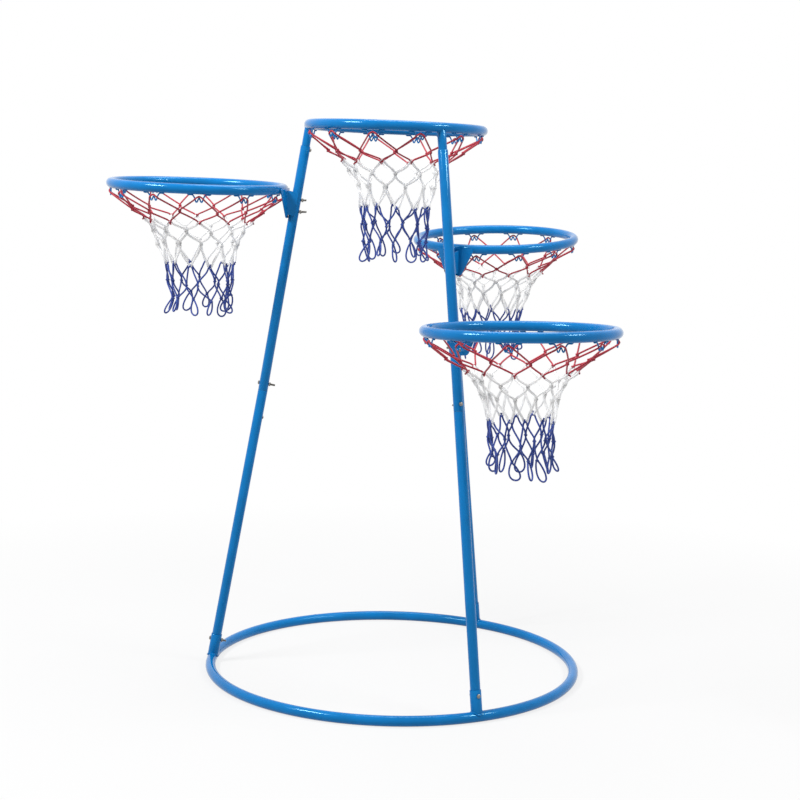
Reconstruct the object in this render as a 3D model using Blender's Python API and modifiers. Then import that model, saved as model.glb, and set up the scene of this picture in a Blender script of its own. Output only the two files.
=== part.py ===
# Stand with four hoops: a base ring, three leaning legs in two lengths, a hoop held
# by all three legs and one hoop bolted to each leg, with a knotted net under each.
# Blender 4.5. Metres, +Z up. Everything is laid out about the centre of the base ring
# on the floor, and the finished stand moves so that the origin is on the floor under
# the middle of the whole. Azimuths are degrees from +X towards +Y.

import math

import bmesh
import bpy
from mathutils import Matrix, Vector

# Fits
GAP = 0.0003                # air between pieces that touch
HOLE_PLAY = 0.0004          # round a bolt in its hole, on the radius

# Base ring and sockets
BASE_RADIUS = 0.516         # to the centreline of the tube
BASE_TUBE = 0.028
BASE_SIDES = 14             # a flat of the tube lies on the floor
BASE_STEPS = 48
SOCKET_WALL = 0.0015
SOCKET_LENGTH = 0.069       # from the ring's centreline, along the leg
SOCKET_BOLT = 0.054

# Legs
LEG_TUBE = 0.0269
LEG_WALL = 0.0013
TUBE_RESOLUTION = 5         # fourteen sides
SEAM_DROP = 0.7354          # from the top hoop down to where the two tubes meet
SLEEVE_WALL = 0.0015
SLEEVE_DOWN = 0.098         # length of the sleeve under the seam
SLEEVE_UP = 0.042           # and over it
SEAM_BOLT = 0.019           # over the seam
SEAM_RIVET = 0.077          # under the seam
LEG_SEAT = 0.0006           # foot of the leg over the base tube
LEGS = {
    "left": {"foot_azimuth": 178.0, "head_azimuth": 178.0, "bow": 0.005},
    "front": {"foot_azimuth": -64.4, "head_azimuth": -59.7, "bow": -0.001},
    "back": {"foot_azimuth": 60.0, "head_azimuth": 57.6, "bow": 0.0},
}

# Hoops
HOOP_OPENING = 0.450        # clear inside
HOOP_TUBE = 0.0269
HOOP_SIDES = 10             # a flat of the tube faces down
HOOP_STEPS = 32
TOP_HEIGHT = 1.5254         # centre of the top hoop over the floor
TOP_SHIFT_X = -0.0236
TOP_SHIFT_Y = 0.0082
TOP_LEAN = 0.93             # degrees, down towards +X
STUB_WALL = 0.0015
STUB_LENGTH = 0.096
STUB_BARE = 0.060           # length of stub that shows over the leg
STUB_SCREW = 0.009          # under the leg's upper end
SIDE_HOOPS = {
    "left": {"drop": 0.1767, "turn": -3.8, "rise": 1.3, "slant": -1.7},
    "front": {"drop": 0.5143, "turn": 8.4, "rise": 2.0, "slant": -0.2},
    "back": {"drop": 0.3431, "turn": -3.8, "rise": 5.5, "slant": 1.2},
}
HOOP_SPACE = 0.0181         # between a leg's tube and its hoop's

# Brackets of the side hoops
PLATE = 0.003
PLATE_TOP = 0.002           # over the hoop's mid plane
PLATE_DROP = 0.077          # under it
PLATE_WIDE = 0.126          # at the hoop
PLATE_NARROW = 0.052        # at the lower edge
PLATE_MIDDLE = 0.040        # between the bends
PLATE_BEND = 9.0            # degrees, so that the wings follow the hoop
PLATE_CORNER = 0.005
SADDLE = 0.002
SADDLE_TOP = 0.006          # under the hoop's mid plane
SADDLE_DROP = 0.071
CHEEK_REACH = 0.006         # past the leg's axis
BRACKET_BOLTS = (0.029, 0.061)

# Fasteners
BOLT = 0.006
BOLT_LENGTH = 0.045         # under the head, through a leg
BRACKET_BOLT_LENGTH = 0.055
HOLE_SIDES = 8
HEAD_FLATS = 0.010
HEAD_HEIGHT = 0.004
NUT_FLATS = 0.010
NUT_HEIGHT = 0.005
ROUND_STEPS = 8
SCREW = 0.005
SCREW_LENGTH = 0.007
SCREW_HEAD = 0.0105
SCREW_HEAD_HEIGHT = 0.004
RIVET = 0.0048
RIVET_LENGTH = 0.0045
RIVET_HEAD = 0.009
RIVET_HEAD_HEIGHT = 0.0025

# Net hooks, bent from wire and welded under the hoop
HOOK_COUNT = 12
HOOK_WIRE = 0.004
HOOK_SPREAD = 0.019         # from the hook's middle to its weld
HOOK_TROUGH = 0.010
HOOK_DEEP = 0.019           # under the tube
HOOK_CREST = 0.010
WELD_SINK = 0.004           # start of a welded tube under its ring's skin
HOOK_PHASE = {"top": 17.8, "left": 15.0, "front": 15.0, "back": 15.0}

# Nets
CORD = 0.0034
CORD_SIDES = 3
CORD_NEST = 0.7             # two bands' cords touch at this share of their radius
LOOP_LENGTH = 0.045
LOOP_WIDTH = 0.018
LOOP_SPREAD = 0.22          # the free loops differ by this share
# Rows of crossings, each with the cord that starts or goes on down from it: drop under
# the hoop's centre, radius, share of the hoop's slope.
NET_ROWS = (
    {"cord": "red", "drop": 0.019, "radius": 0.236, "slope": 1.0},
    {"cord": "red", "drop": 0.068, "radius": 0.186, "slope": 0.7},
    {"cord": "white", "drop": 0.098, "radius": 0.149, "slope": 0.45},
    {"cord": "white", "drop": 0.124, "radius": 0.130, "slope": 0.25},
    {"cord": "white", "drop": 0.160, "radius": 0.110, "slope": 0.1},
    {"cord": "navy", "drop": 0.215, "radius": 0.097, "slope": 0.0},
    {"cord": "navy", "drop": 0.266, "radius": 0.090, "slope": 0.0},
    {"cord": "navy", "drop": 0.312, "radius": 0.083, "slope": 0.0},
)

# Worked out from the sizes above
BASE_LEVEL = BASE_TUBE / 2 * math.cos(math.pi / BASE_SIDES)
HOOP_RADIUS = (HOOP_OPENING + HOOP_TUBE) / 2
HOOP_LOW = HOOP_TUBE / 2 * math.cos(math.pi / HOOP_SIDES)
TUBE_SIDES = 4 + 2 * TUBE_RESOLUTION
FLAT = math.cos(math.pi / TUBE_SIDES)
LEG_BORE = LEG_TUBE / 2 * FLAT - LEG_WALL
SPIGOT_RADIUS = LEG_BORE - GAP
SOCKET_RADIUS = (LEG_TUBE / 2 + GAP + SOCKET_WALL) / FLAT
ROUND = math.tau / HOOK_COUNT
NET_BANDS = {}
for index, row in enumerate(NET_ROWS):
    first = NET_BANDS.get(row["cord"], (index, index))[0]
    NET_BANDS[row["cord"]] = (first, min(index + 1, len(NET_ROWS) - 1))


def clear_scene():
    for obj in list(bpy.data.objects):
        bpy.data.objects.remove(obj, do_unlink=True)


def make_collection(name):
    collection = bpy.data.collections.new(name)
    bpy.context.scene.collection.children.link(collection)
    return collection


def make_material(name, colour, roughness, metallic):
    material = bpy.data.materials.new(name)
    material.use_nodes = True
    shader = material.node_tree.nodes["Principled BSDF"]
    shader.inputs["Base Color"].default_value = (*colour, 1.0)
    shader.inputs["Roughness"].default_value = roughness
    shader.inputs["Metallic"].default_value = metallic
    return material


clear_scene()
PARTS = make_collection("four_hoop_stand")
CUTTERS = make_collection("cutters")
MATERIALS = {
    "blue_paint": ((0.012, 0.19, 0.52), 0.25, 0.0),
    "zinc": ((0.62, 0.62, 0.6), 0.35, 1.0),
    "red_cord": ((0.5, 0.02, 0.05), 0.8, 0.0),
    "white_cord": ((0.8, 0.8, 0.8), 0.8, 0.0),
    "navy_cord": ((0.02, 0.06, 0.32), 0.8, 0.0),
}


def polar(radius, azimuth, height):
    angle = math.radians(azimuth)
    return Vector((radius * math.cos(angle), radius * math.sin(angle), height))


def frame_at(origin, up, out):
    """A frame with +Z along up and +X as near to out as it can be."""
    z = up.normalized()
    x = (out - z * out.dot(z)).normalized()
    y = z.cross(x)
    frame = Matrix((x, y, z)).transposed().to_4x4()
    frame.translation = origin
    return frame


def add_object(name, mesh, frame, collection):
    obj = bpy.data.objects.new(name, mesh)
    obj.matrix_world = frame
    collection.objects.link(obj)
    return obj


def make_part(name, mesh, frame, finish):
    """One named sub-part with a material of its own."""
    obj = add_object(name, mesh, frame, PARTS)
    if not mesh.materials:
        mesh.materials.append(None)
    obj.material_slots[0].link = "OBJECT"
    obj.material_slots[0].material = make_material(f"{name}_{finish}", *MATERIALS[finish])
    mesh.shade_smooth()
    mesh.set_sharp_from_angle(angle=math.radians(35))
    return obj


def make_cutter(name, data, frame):
    """A shape that only cuts, joins or guides others."""
    obj = add_object(name, data, frame, CUTTERS)
    obj.hide_render = True
    obj.display_type = "WIRE"
    return obj


def combine(obj, tool, operation):
    modifier = obj.modifiers.new(tool.name, "BOOLEAN")
    modifier.operation = operation
    modifier.solver = "EXACT"
    modifier.object = tool


def mesh_from(bm):
    """Close a bmesh and keep its mesh."""
    bmesh.ops.remove_doubles(bm, verts=bm.verts, dist=0.00001)
    bmesh.ops.recalc_face_normals(bm, faces=bm.faces)
    mesh = bpy.data.meshes.new("mesh")
    bm.to_mesh(mesh)
    bm.free()
    return mesh


def evaluated_mesh(obj):
    """The object's shape with its modifiers or bevel, welded; the object goes."""
    bpy.context.view_layer.update()
    evaluated = obj.evaluated_get(bpy.context.evaluated_depsgraph_get())
    mesh = bpy.data.meshes.new_from_object(evaluated)
    bpy.data.objects.remove(obj, do_unlink=True)
    bm = bmesh.new()
    bm.from_mesh(mesh)
    return mesh_from(bm)


def ring_mesh(radius, tube, steps, sides):
    """A ring bent from round tube."""
    bpy.ops.mesh.primitive_torus_add(major_radius=radius, minor_radius=tube / 2,
                                     major_segments=steps, minor_segments=sides)
    obj = bpy.context.active_object
    mesh = obj.data
    bpy.data.objects.remove(obj, do_unlink=True)
    return mesh


def wire_curve(paths, closed=False):
    """A curve with one straight-sided spline along each path."""
    curve = bpy.data.curves.new("wire", "CURVE")
    curve.dimensions = "3D"
    for path in paths:
        spline = curve.splines.new("POLY")
        spline.points.add(len(path) - 1)
        for point, place in zip(spline.points, path):
            point.co = (*place, 1.0)
        spline.use_cyclic_u = closed
    return curve


def wire_mesh(paths, diameter, resolution, caps=True):
    """Round wire along open paths."""
    curve = wire_curve(paths)
    curve.bevel_depth = diameter / 2
    curve.bevel_resolution = resolution
    curve.use_fill_caps = caps
    return evaluated_mesh(add_object("wire", curve, Matrix(), CUTTERS))


def cord_mesh(path):
    """A closed cord of few sides, so that four nets stay light."""
    section = bpy.data.curves.new("section", "CURVE")
    section.dimensions = "2D"
    outline = section.splines.new("POLY")
    outline.points.add(CORD_SIDES - 1)
    for index, point in enumerate(outline.points):
        angle = math.tau * index / CORD_SIDES
        point.co = (CORD / 2 * math.cos(angle), CORD / 2 * math.sin(angle), 0.0, 1.0)
    outline.use_cyclic_u = True
    guide = make_cutter("cord_section", section, Matrix())
    curve = wire_curve([path], closed=True)
    curve.bevel_mode = "OBJECT"
    curve.bevel_object = guide
    mesh = evaluated_mesh(add_object("cord", curve, Matrix(), CUTTERS))
    bpy.data.objects.remove(guide, do_unlink=True)
    return mesh


def box_mesh(low, high):
    """A box between two corners."""
    bm = bmesh.new()
    bmesh.ops.create_cube(bm, size=1.0)
    low = Vector(low)
    high = Vector(high)
    size = Matrix.Diagonal(high - low).to_4x4()
    bmesh.ops.transform(bm, verts=bm.verts,
                        matrix=Matrix.Translation((low + high) / 2) @ size)
    return mesh_from(bm)


def turned_mesh(profile, steps, closed=False):
    """Radius and height pairs, top to bottom down the outer side, turned about Z."""
    bm = bmesh.new()
    verts = [bm.verts.new((radius, 0.0, height)) for radius, height in profile]
    for near, far in zip(verts, verts[1:]):
        bm.edges.new((near, far))
    if closed:
        bm.edges.new((verts[-1], verts[0]))
    mesh = bpy.data.meshes.new("profile")
    bm.to_mesh(mesh)
    bm.free()
    obj = add_object("profile", mesh, Matrix(), CUTTERS)
    screw = obj.modifiers.new("turn", "SCREW")
    screw.steps = steps
    screw.render_steps = steps
    screw.use_merge_vertices = True
    screw.merge_threshold = 0.00001
    return evaluated_mesh(obj)


def shell(obj, wall):
    """Thicken an open surface inwards."""
    modifier = obj.modifiers.new("wall", "SOLIDIFY")
    modifier.thickness = wall
    modifier.offset = -1.0
    modifier.use_even_offset = True


def drill(obj, name, frame, diameter, low, high):
    """A round hole with play along the frame's Z, from low to high."""
    bm = bmesh.new()
    radius = diameter / 2 + HOLE_PLAY
    turned = Matrix.Rotation(math.pi / HOLE_SIDES, 4, "Z")
    bmesh.ops.create_cone(bm, cap_ends=True, segments=HOLE_SIDES, radius1=radius,
                          radius2=radius, depth=high - low,
                          matrix=turned @ Matrix.Translation((0.0, 0.0, (low + high) / 2)))
    combine(obj, make_cutter(name, mesh_from(bm), frame), "DIFFERENCE")


# Legs: the foot on the base ring, the knee at the seam and the head on the top hoop.
TOP_FRAME = (
    Matrix.Translation((TOP_SHIFT_X, TOP_SHIFT_Y, TOP_HEIGHT))
    @ Matrix.Rotation(math.radians(TOP_LEAN), 4, "Y"))


def leg_line(leg):
    foot = polar(BASE_RADIUS, leg["foot_azimuth"], BASE_LEVEL)
    head = TOP_FRAME @ polar(HOOP_RADIUS, leg["head_azimuth"], 0.0)
    share = (TOP_HEIGHT - SEAM_DROP - foot.z) / (head.z - foot.z)
    knee = foot.lerp(head, share)
    outward = Vector((knee.x, knee.y, 0.0)).normalized()
    return foot, knee - outward * leg["bow"], head


def cross_frame(frame, level, outward):
    """A frame whose Z runs square through the leg, outwards or inwards."""
    out = frame.col[0].to_3d() * outward
    return frame_at(frame @ Vector((0.0, 0.0, level)), out, frame.col[2].to_3d())


LINES = {}
for side, leg in LEGS.items():
    foot, knee, head = leg_line(leg)
    outward = Vector((knee.x, knee.y, 0.0)).normalized()
    lower = frame_at(foot, knee - foot, outward)
    upper = frame_at(knee, head - knee, outward)
    reach = (head - knee).length
    LINES[side] = {
        "lower": lower, "upper": upper, "knee": knee, "head": head,
        "lower_length": (knee - foot).length, "reach": reach,
        "socket_bolt": cross_frame(lower, SOCKET_BOLT, 1),
        "seam_bolt": cross_frame(upper, SEAM_BOLT, 1),
        "seam_rivet": cross_frame(lower, (knee - foot).length - SEAM_RIVET, -1),
        "stub_screw": cross_frame(upper, reach - STUB_BARE - STUB_SCREW, -1),
    }


# Side hoops: each frame has +X from the leg out over the hoop and +Z up through it.
def hoop_frame(side, hoop):
    line = LINES[side]
    span = line["head"] - line["knee"]
    height = TOP_HEIGHT - hoop["drop"]
    point = line["knee"] + span * ((height - line["knee"].z) / span.z)
    azimuth = math.atan2(point.y, point.x) + math.radians(hoop["turn"])
    rise = math.radians(hoop["rise"])
    out = Vector((
        math.cos(azimuth) * math.cos(rise),
        math.sin(azimuth) * math.cos(rise),
        math.sin(rise)))
    slant = math.tan(math.radians(hoop["slant"]))
    along = Vector((-math.sin(azimuth), math.cos(azimuth), slant))
    return frame_at(point, out.cross(along), out)


HOOP_FRAMES = {}
for side, hoop in SIDE_HOOPS.items():
    frame = hoop_frame(side, hoop)
    leg_up = LINES[side]["upper"].col[2].to_3d()
    lean = frame.to_3x3().inverted() @ leg_up
    plate_in = LEG_TUBE / 2 + HOOP_SPACE - GAP - PLATE
    plate_low = PLATE_DROP * -lean.x / lean.z + LEG_TUBE / 2 / lean.z + GAP
    plate = (frame @ Matrix.Translation((plate_in, 0.0, 0.0))
             @ Matrix.Rotation(math.atan2(plate_in - plate_low, PLATE_DROP), 4, "Y"))
    hoop_middle = plate_in + PLATE + GAP + HOOP_TUBE / 2 + HOOP_RADIUS
    HOOP_FRAMES[side] = {
        "frame": frame, "plate_in": plate_in, "plate": plate,
        "leg_at": plate.inverted() @ frame.translation,
        "leg_up": plate.to_3x3().inverted() @ leg_up,
        "middle": frame @ Matrix.Translation((hoop_middle, 0.0, 0.0)),
    }


def make_base_ring():
    mesh = ring_mesh(BASE_RADIUS, BASE_TUBE, BASE_STEPS, BASE_SIDES)
    ring = make_part("base_ring", mesh, Matrix.Translation((0.0, 0.0, BASE_LEVEL)),
                     "blue_paint")
    for side, line in LINES.items():
        path = ((0.0, 0.0, WELD_SINK), (0.0, 0.0, SOCKET_LENGTH))
        mesh = wire_mesh([path], 2 * SOCKET_RADIUS, TUBE_RESOLUTION, caps=False)
        socket = make_cutter(f"socket_{side}", mesh, line["lower"])
        shell(socket, SOCKET_WALL)
        combine(ring, socket, "UNION")
        drill(ring, f"socket_hole_{side}", line["socket_bolt"], BOLT,
              -BASE_TUBE, BASE_TUBE)


def make_tube(name, frame, path, diameter, wall, finish):
    """An open tube with its holes still to come."""
    mesh = wire_mesh([path], diameter, TUBE_RESOLUTION, caps=False)
    tube = make_part(name, mesh, frame, finish)
    shell(tube, wall)
    return tube


def make_legs():
    for side, line in LINES.items():
        length = line["lower_length"]
        lower = make_tube(
            f"lower_leg_{side}", line["lower"],
            ((0.0, 0.0, BASE_TUBE / 2 + LEG_SEAT), (0.0, 0.0, length - GAP / 2)),
            LEG_TUBE, LEG_WALL, "blue_paint")
        drill(lower, f"hole_lower_bolt_{side}", line["socket_bolt"], BOLT, -LEG_TUBE, LEG_TUBE)
        drill(lower, f"hole_lower_rivet_{side}", line["seam_rivet"], RIVET, 0.0, LEG_TUBE)

        upper = make_tube(
            f"upper_leg_{side}", line["upper"],
            ((0.0, 0.0, GAP / 2), (0.0, 0.0, line["reach"] - STUB_BARE)),
            LEG_TUBE, LEG_WALL, "blue_paint")
        drill(upper, f"hole_upper_bolt_{side}", line["seam_bolt"], BOLT, -LEG_TUBE, LEG_TUBE)
        drill(upper, f"hole_upper_screw_{side}", line["stub_screw"], SCREW, 0.0, LEG_TUBE)
        for index, frame in enumerate(bracket_bolt_frames(side)):
            drill(upper, f"hole_upper_bracket_{side}_{index}", frame, BOLT,
                  -1.2 * LEG_TUBE, 1.2 * LEG_TUBE)

        above = line["lower"].inverted() @ line["upper"] @ Vector((0.0, 0.0, SLEEVE_UP))
        sleeve = make_tube(
            f"joint_sleeve_{side}", line["lower"],
            ((0.0, 0.0, length - SLEEVE_DOWN), (0.0, 0.0, length), above),
            2 * SPIGOT_RADIUS, SLEEVE_WALL, "zinc")
        drill(sleeve, f"hole_sleeve_bolt_{side}", line["seam_bolt"], BOLT,
              -LEG_TUBE, LEG_TUBE)
        drill(sleeve, f"hole_sleeve_rivet_{side}", line["seam_rivet"], RIVET,
              0.0, LEG_TUBE)


def make_top_hoop():
    mesh = ring_mesh(HOOP_RADIUS, HOOP_TUBE, HOOP_STEPS, HOOP_SIDES)
    hoop = make_part("top_hoop", mesh, TOP_FRAME, "blue_paint")
    for side, line in LINES.items():
        path = ((0.0, 0.0, line["reach"] - STUB_LENGTH),
                (0.0, 0.0, line["reach"] - WELD_SINK))
        mesh = wire_mesh([path], 2 * SPIGOT_RADIUS, TUBE_RESOLUTION, caps=False)
        stub = make_cutter(f"stub_{side}", mesh, line["upper"])
        shell(stub, STUB_WALL)
        combine(hoop, stub, "UNION")
        drill(hoop, f"stub_hole_{side}", line["stub_screw"], SCREW, 0.0, LEG_TUBE)


def make_side_hoops():
    for side, place in HOOP_FRAMES.items():
        mesh = ring_mesh(HOOP_RADIUS, HOOP_TUBE, HOOP_STEPS, HOOP_SIDES)
        make_part(f"{side}_hoop", mesh, place["middle"], "blue_paint")


def bracket_bolt_frames(side):
    """Frames on the leg's axis whose Z runs out square through the face plate."""
    place = HOOP_FRAMES[side]
    leg_at = place["leg_at"]
    leg_up = place["leg_up"]
    frames = []
    for drop in BRACKET_BOLTS:
        point = leg_at - leg_up * ((leg_at.z + drop) / leg_up.z)
        local = frame_at(point, Vector((1.0, 0.0, 0.0)), Vector((0.0, 0.0, 1.0)))
        frames.append(place["plate"] @ local)
    return frames


def plate_mesh():
    """The face plate's open inner surface: a middle and two wings bent outwards."""
    slope = math.tan(math.radians(PLATE_BEND))
    bm = bmesh.new()
    bmesh.ops.create_grid(bm, x_segments=3, y_segments=1, size=1.0)
    corners = []
    for vert in bm.verts:
        top = vert.co.y > 0
        across = PLATE_MIDDLE / 2
        if abs(vert.co.x) > 0.9:
            across = (PLATE_WIDE if top else PLATE_NARROW) / 2
            corners.append(vert)
        wing = across - PLATE_MIDDLE / 2
        vert.co = (wing * slope, math.copysign(across, vert.co.x),
                   PLATE_TOP if top else -PLATE_DROP)
    bmesh.ops.bevel(bm, geom=corners, offset=PLATE_CORNER, segments=2, profile=0.5,
                    affect="VERTICES")
    for face in bm.faces:
        face.normal_update()
    if sum(face.normal.x for face in bm.faces) > 0:
        bmesh.ops.reverse_faces(bm, faces=bm.faces)
    mesh = bpy.data.meshes.new("plate")
    bm.to_mesh(mesh)
    bm.free()
    return mesh


def make_brackets():
    for side, place in HOOP_FRAMES.items():
        frame = place["frame"]
        plate_in = place["plate_in"]
        bracket = make_part(f"{side}_bracket", plate_mesh(), place["plate"], "blue_paint")
        shell(bracket, PLATE)

        # Two cheeks along the leg's sides and the web between them
        inner = LEG_TUBE / 2 + GAP
        outer = inner + SADDLE
        reach = plate_in + 2 * PLATE
        upright = LINES[side]["upper"].col[2].to_3d()
        saddle_frame = frame_at(frame.translation, upright, frame.col[0].to_3d())
        block = box_mesh((-CHEEK_REACH, -outer, -SADDLE_DROP), (reach, outer, -SADDLE_TOP))
        slot = box_mesh((-2 * inner, -inner, -2 * SADDLE_DROP), (inner, inner, inner))
        pocket = box_mesh((outer, -inner, -2 * SADDLE_DROP), (2 * reach, inner, inner))
        trim = box_mesh((PLATE / 2, -PLATE_WIDE, -2 * PLATE_DROP),
                        (reach, PLATE_WIDE, PLATE_DROP))
        saddle = make_cutter(f"saddle_{side}", block, saddle_frame)
        combine(saddle, make_cutter(f"slot_{side}", slot, saddle_frame), "DIFFERENCE")
        combine(saddle, make_cutter(f"pocket_{side}", pocket, saddle_frame), "DIFFERENCE")
        combine(saddle, make_cutter(f"trim_{side}", trim, place["plate"]), "DIFFERENCE")
        combine(bracket, saddle, "UNION")
        for index, bolt in enumerate(bracket_bolt_frames(side)):
            drill(bracket, f"bracket_hole_{side}_{index}", bolt, BOLT, 0.0, 2 * LEG_TUBE)


def bolt_mesh(length):
    """A hexagon bolt with its head over zero and its thread down -Z."""
    head = HEAD_FLATS / math.sqrt(3)
    profile = ((0.0, HEAD_HEIGHT), (head, HEAD_HEIGHT), (head, 0.0), (BOLT / 2, 0.0),
               (BOLT / 2, -length), (0.0, -length))
    return turned_mesh(profile, 6)


def nut_mesh():
    """A nut under zero."""
    outer = NUT_FLATS / math.sqrt(3)
    bore = BOLT / 2 + GAP
    profile = ((bore, 0.0), (outer, 0.0), (outer, -NUT_HEIGHT), (bore, -NUT_HEIGHT))
    return turned_mesh(profile, 6, closed=True)


def round_head_mesh(shank, length, head, height):
    """A domed head over zero on a round shank down -Z."""
    profile = ((0.0, height), (head * 0.32, height), (head / 2, height * 0.4),
               (head / 2, 0.0), (shank / 2, 0.0), (shank / 2, -length), (0.0, -length))
    return turned_mesh(profile, ROUND_STEPS)


def set_out(name, mesh, places):
    """Identical fasteners that share a mesh, each at its own frame and level."""
    for side, (frame, level) in places.items():
        lowered = frame @ Matrix.Translation((0.0, 0.0, level))
        make_part(f"{name}_{side}", mesh, lowered, "zinc")


def make_fasteners():
    leg_out = LEG_TUBE / 2 + GAP
    socket_out = SOCKET_RADIUS + GAP
    bolt = bolt_mesh(BOLT_LENGTH)
    long_bolt = bolt_mesh(BRACKET_BOLT_LENGTH)
    nut = nut_mesh()
    screw = round_head_mesh(SCREW, SCREW_LENGTH, SCREW_HEAD, SCREW_HEAD_HEIGHT)
    rivet = round_head_mesh(RIVET, RIVET_LENGTH, RIVET_HEAD, RIVET_HEAD_HEIGHT)
    for name, out in (("socket", socket_out), ("seam", leg_out)):
        frames = {side: line[f"{name}_bolt"] for side, line in LINES.items()}
        set_out(f"{name}_bolt", bolt, {side: (at, out) for side, at in frames.items()})
        set_out(f"{name}_nut", nut, {side: (at, -out) for side, at in frames.items()})
    set_out("stub_screw", screw,
            {side: (line["stub_screw"], leg_out) for side, line in LINES.items()})
    set_out("sleeve_rivet", rivet,
            {side: (line["seam_rivet"], leg_out) for side, line in LINES.items()})

    bolts = {}
    nuts = {}
    for side, place in HOOP_FRAMES.items():
        leg_up = place["leg_up"]
        tilt = -leg_up.x / leg_up.z
        for index, frame in enumerate(bracket_bolt_frames(side)):
            key = f"{side}_{'upper' if index == 0 else 'lower'}"
            axis = (place["plate"].inverted() @ frame.translation).x
            outside = PLATE + GAP - axis
            bolts[key] = (frame, outside)
            nuts[key] = (frame, -leg_out / leg_up.z - NUT_FLATS / math.sqrt(3) * tilt)
    set_out("bracket_bolt", long_bolt, bolts)
    set_out("bracket_nut", nut, nuts)


def hoop_places():
    """Every hoop's middle frame, with the direction its hooks count from."""
    places = {"top": (TOP_FRAME, math.radians(LEGS["left"]["head_azimuth"]))}
    for side, place in HOOP_FRAMES.items():
        places[side] = (place["middle"], math.pi)
    return places


def hook_angles(name, start):
    return [start + math.radians(HOOK_PHASE[name]) + ROUND * index
            for index in range(HOOK_COUNT)]


def hook_mesh():
    """One hook under a hoop's tube: weld, trough, crest, trough, weld."""
    route = [(0.0, -HOOK_SPREAD, WELD_SINK - HOOP_LOW),
             (0.0, -HOOK_TROUGH, -HOOP_LOW - HOOK_DEEP),
             (0.0, 0.0, -HOOP_LOW - HOOK_CREST),
             (0.0, HOOK_TROUGH, -HOOP_LOW - HOOK_DEEP),
             (0.0, HOOK_SPREAD, WELD_SINK - HOOP_LOW)]
    return wire_mesh([route], HOOK_WIRE, 0)


def weld_hooks():
    """Join the net hooks to their hoops, spaced evenly from the hoop's first one."""
    mesh = hook_mesh()
    for name, (frame, start) in hoop_places().items():
        hooks = make_collection(f"{name}_hooks")
        for index in range(HOOK_COUNT):
            angle = start + math.radians(HOOK_PHASE[name]) + ROUND * index
            at = (frame @ Matrix.Rotation(angle, 4, "Z")
                  @ Matrix.Translation((HOOP_RADIUS, 0.0, 0.0)))
            hook = add_object(f"{name}_hook_{index}", mesh, at, hooks)
            hook.hide_render = True
            hook.display_type = "WIRE"
        modifier = bpy.data.objects[f"{name}_hoop"].modifiers.new("hooks", "BOOLEAN")
        modifier.operation = "UNION"
        modifier.solver = "EXACT"
        modifier.operand_type = "COLLECTION"
        modifier.collection = hooks


def net_point(frame, turn, row, shift=0.0, drop=0.0, side=0.0):
    """A point of the net on a row, a shift outwards, a drop and a step to the side."""
    data = NET_ROWS[row]
    angle = turn + side / data["radius"]
    out = data["radius"] + shift
    level = frame @ Vector((out * math.cos(angle), out * math.sin(angle), 0.0))
    middle = frame.translation.z
    height = middle + (level.z - middle) * data["slope"] - data["drop"] - drop
    return Vector((level.x, level.y, height))


def over_hook(frame, turn):
    """Up on the inner side, over the hook's crest, down and back in under it."""
    radial = Vector((math.cos(turn), math.sin(turn), 0.0))
    clear = (HOOK_WIRE + CORD) / 2 + GAP
    low = HOOP_LOW + HOOK_CREST
    route = ((-clear, low), (0.0, low - clear), (clear, low), (0.0, low + 1.5 * clear))
    return [frame @ (radial * (HOOP_RADIUS + shift) - Vector((0.0, 0.0, drop)))
            for shift, drop in route]


def free_loop(frame, turn, row, step):
    """Down on the outer side and back up on the inner; the loops differ a little."""
    length = LOOP_LENGTH * (1.0 + LOOP_SPREAD * math.sin(2.4 * step))
    beside = CORD / 2 + GAP
    half = LOOP_WIDTH / 2
    route = ((beside, 0.0, 0.0), (beside, 0.6, half), (0.0, 1.0, half * 0.4),
             (0.0, 1.0, -half * 0.4), (-beside, 0.6, -half), (-beside, 0.0, 0.0))
    return [net_point(frame, turn, row, shift, length * share, side)
            for shift, share, side in route]


def cord_route(first, last):
    """The rows and steps that one cord passes, always to the right: it crosses itself
    at each knot but a few in its first row, where it turns back instead, so that all
    its rounds join in one closed cord."""
    turns = {(first + 1, (first + 1) % 2 + 2 * column)
             for column in range(math.gcd(HOOK_COUNT, last - first) - 1)}
    start = (first, first % 2)
    row, step = start
    way = 1
    route = []
    while True:
        if row == first or ((row, step) in turns and way < 0):
            way = 1
            route.append(("top", row, step))
        elif row == last or (row, step) in turns:
            way = -1
            route.append(("low", row, step))
        else:
            route.append(("down" if way > 0 else "up", row, step))
        row += way
        step = (step + 1) % (2 * HOOK_COUNT)
        if (row, step) == start:
            return route


def cord_path(band, frame, start):
    """The points of one band's cord: it goes down outside and up inside."""
    first, last = NET_BANDS[band]
    beside = CORD / 2 + GAP
    touch = CORD / 2 * CORD_NEST + GAP
    path = []
    for way, row, step in cord_route(first, last):
        turn = start + step * ROUND / 2
        if way == "top" and row == 0:
            path += over_hook(frame, turn)
        elif way == "low" and row == len(NET_ROWS) - 1:
            path += free_loop(frame, turn, row, step)
        elif way == "top":
            path.append(net_point(frame, turn, row, 0.0, touch))
        elif way == "low":
            path.append(net_point(frame, turn, row, 0.0, -touch))
        else:
            path.append(net_point(frame, turn, row, beside if way == "down" else -beside))
    return path


def make_nets():
    for name, (frame, start) in hoop_places().items():
        first = start + math.radians(HOOK_PHASE[name])
        for band in NET_BANDS:
            mesh = cord_mesh(cord_path(band, frame, first))
            make_part(f"{name}_net_{band}", mesh, Matrix(), f"{band}_cord")


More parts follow.
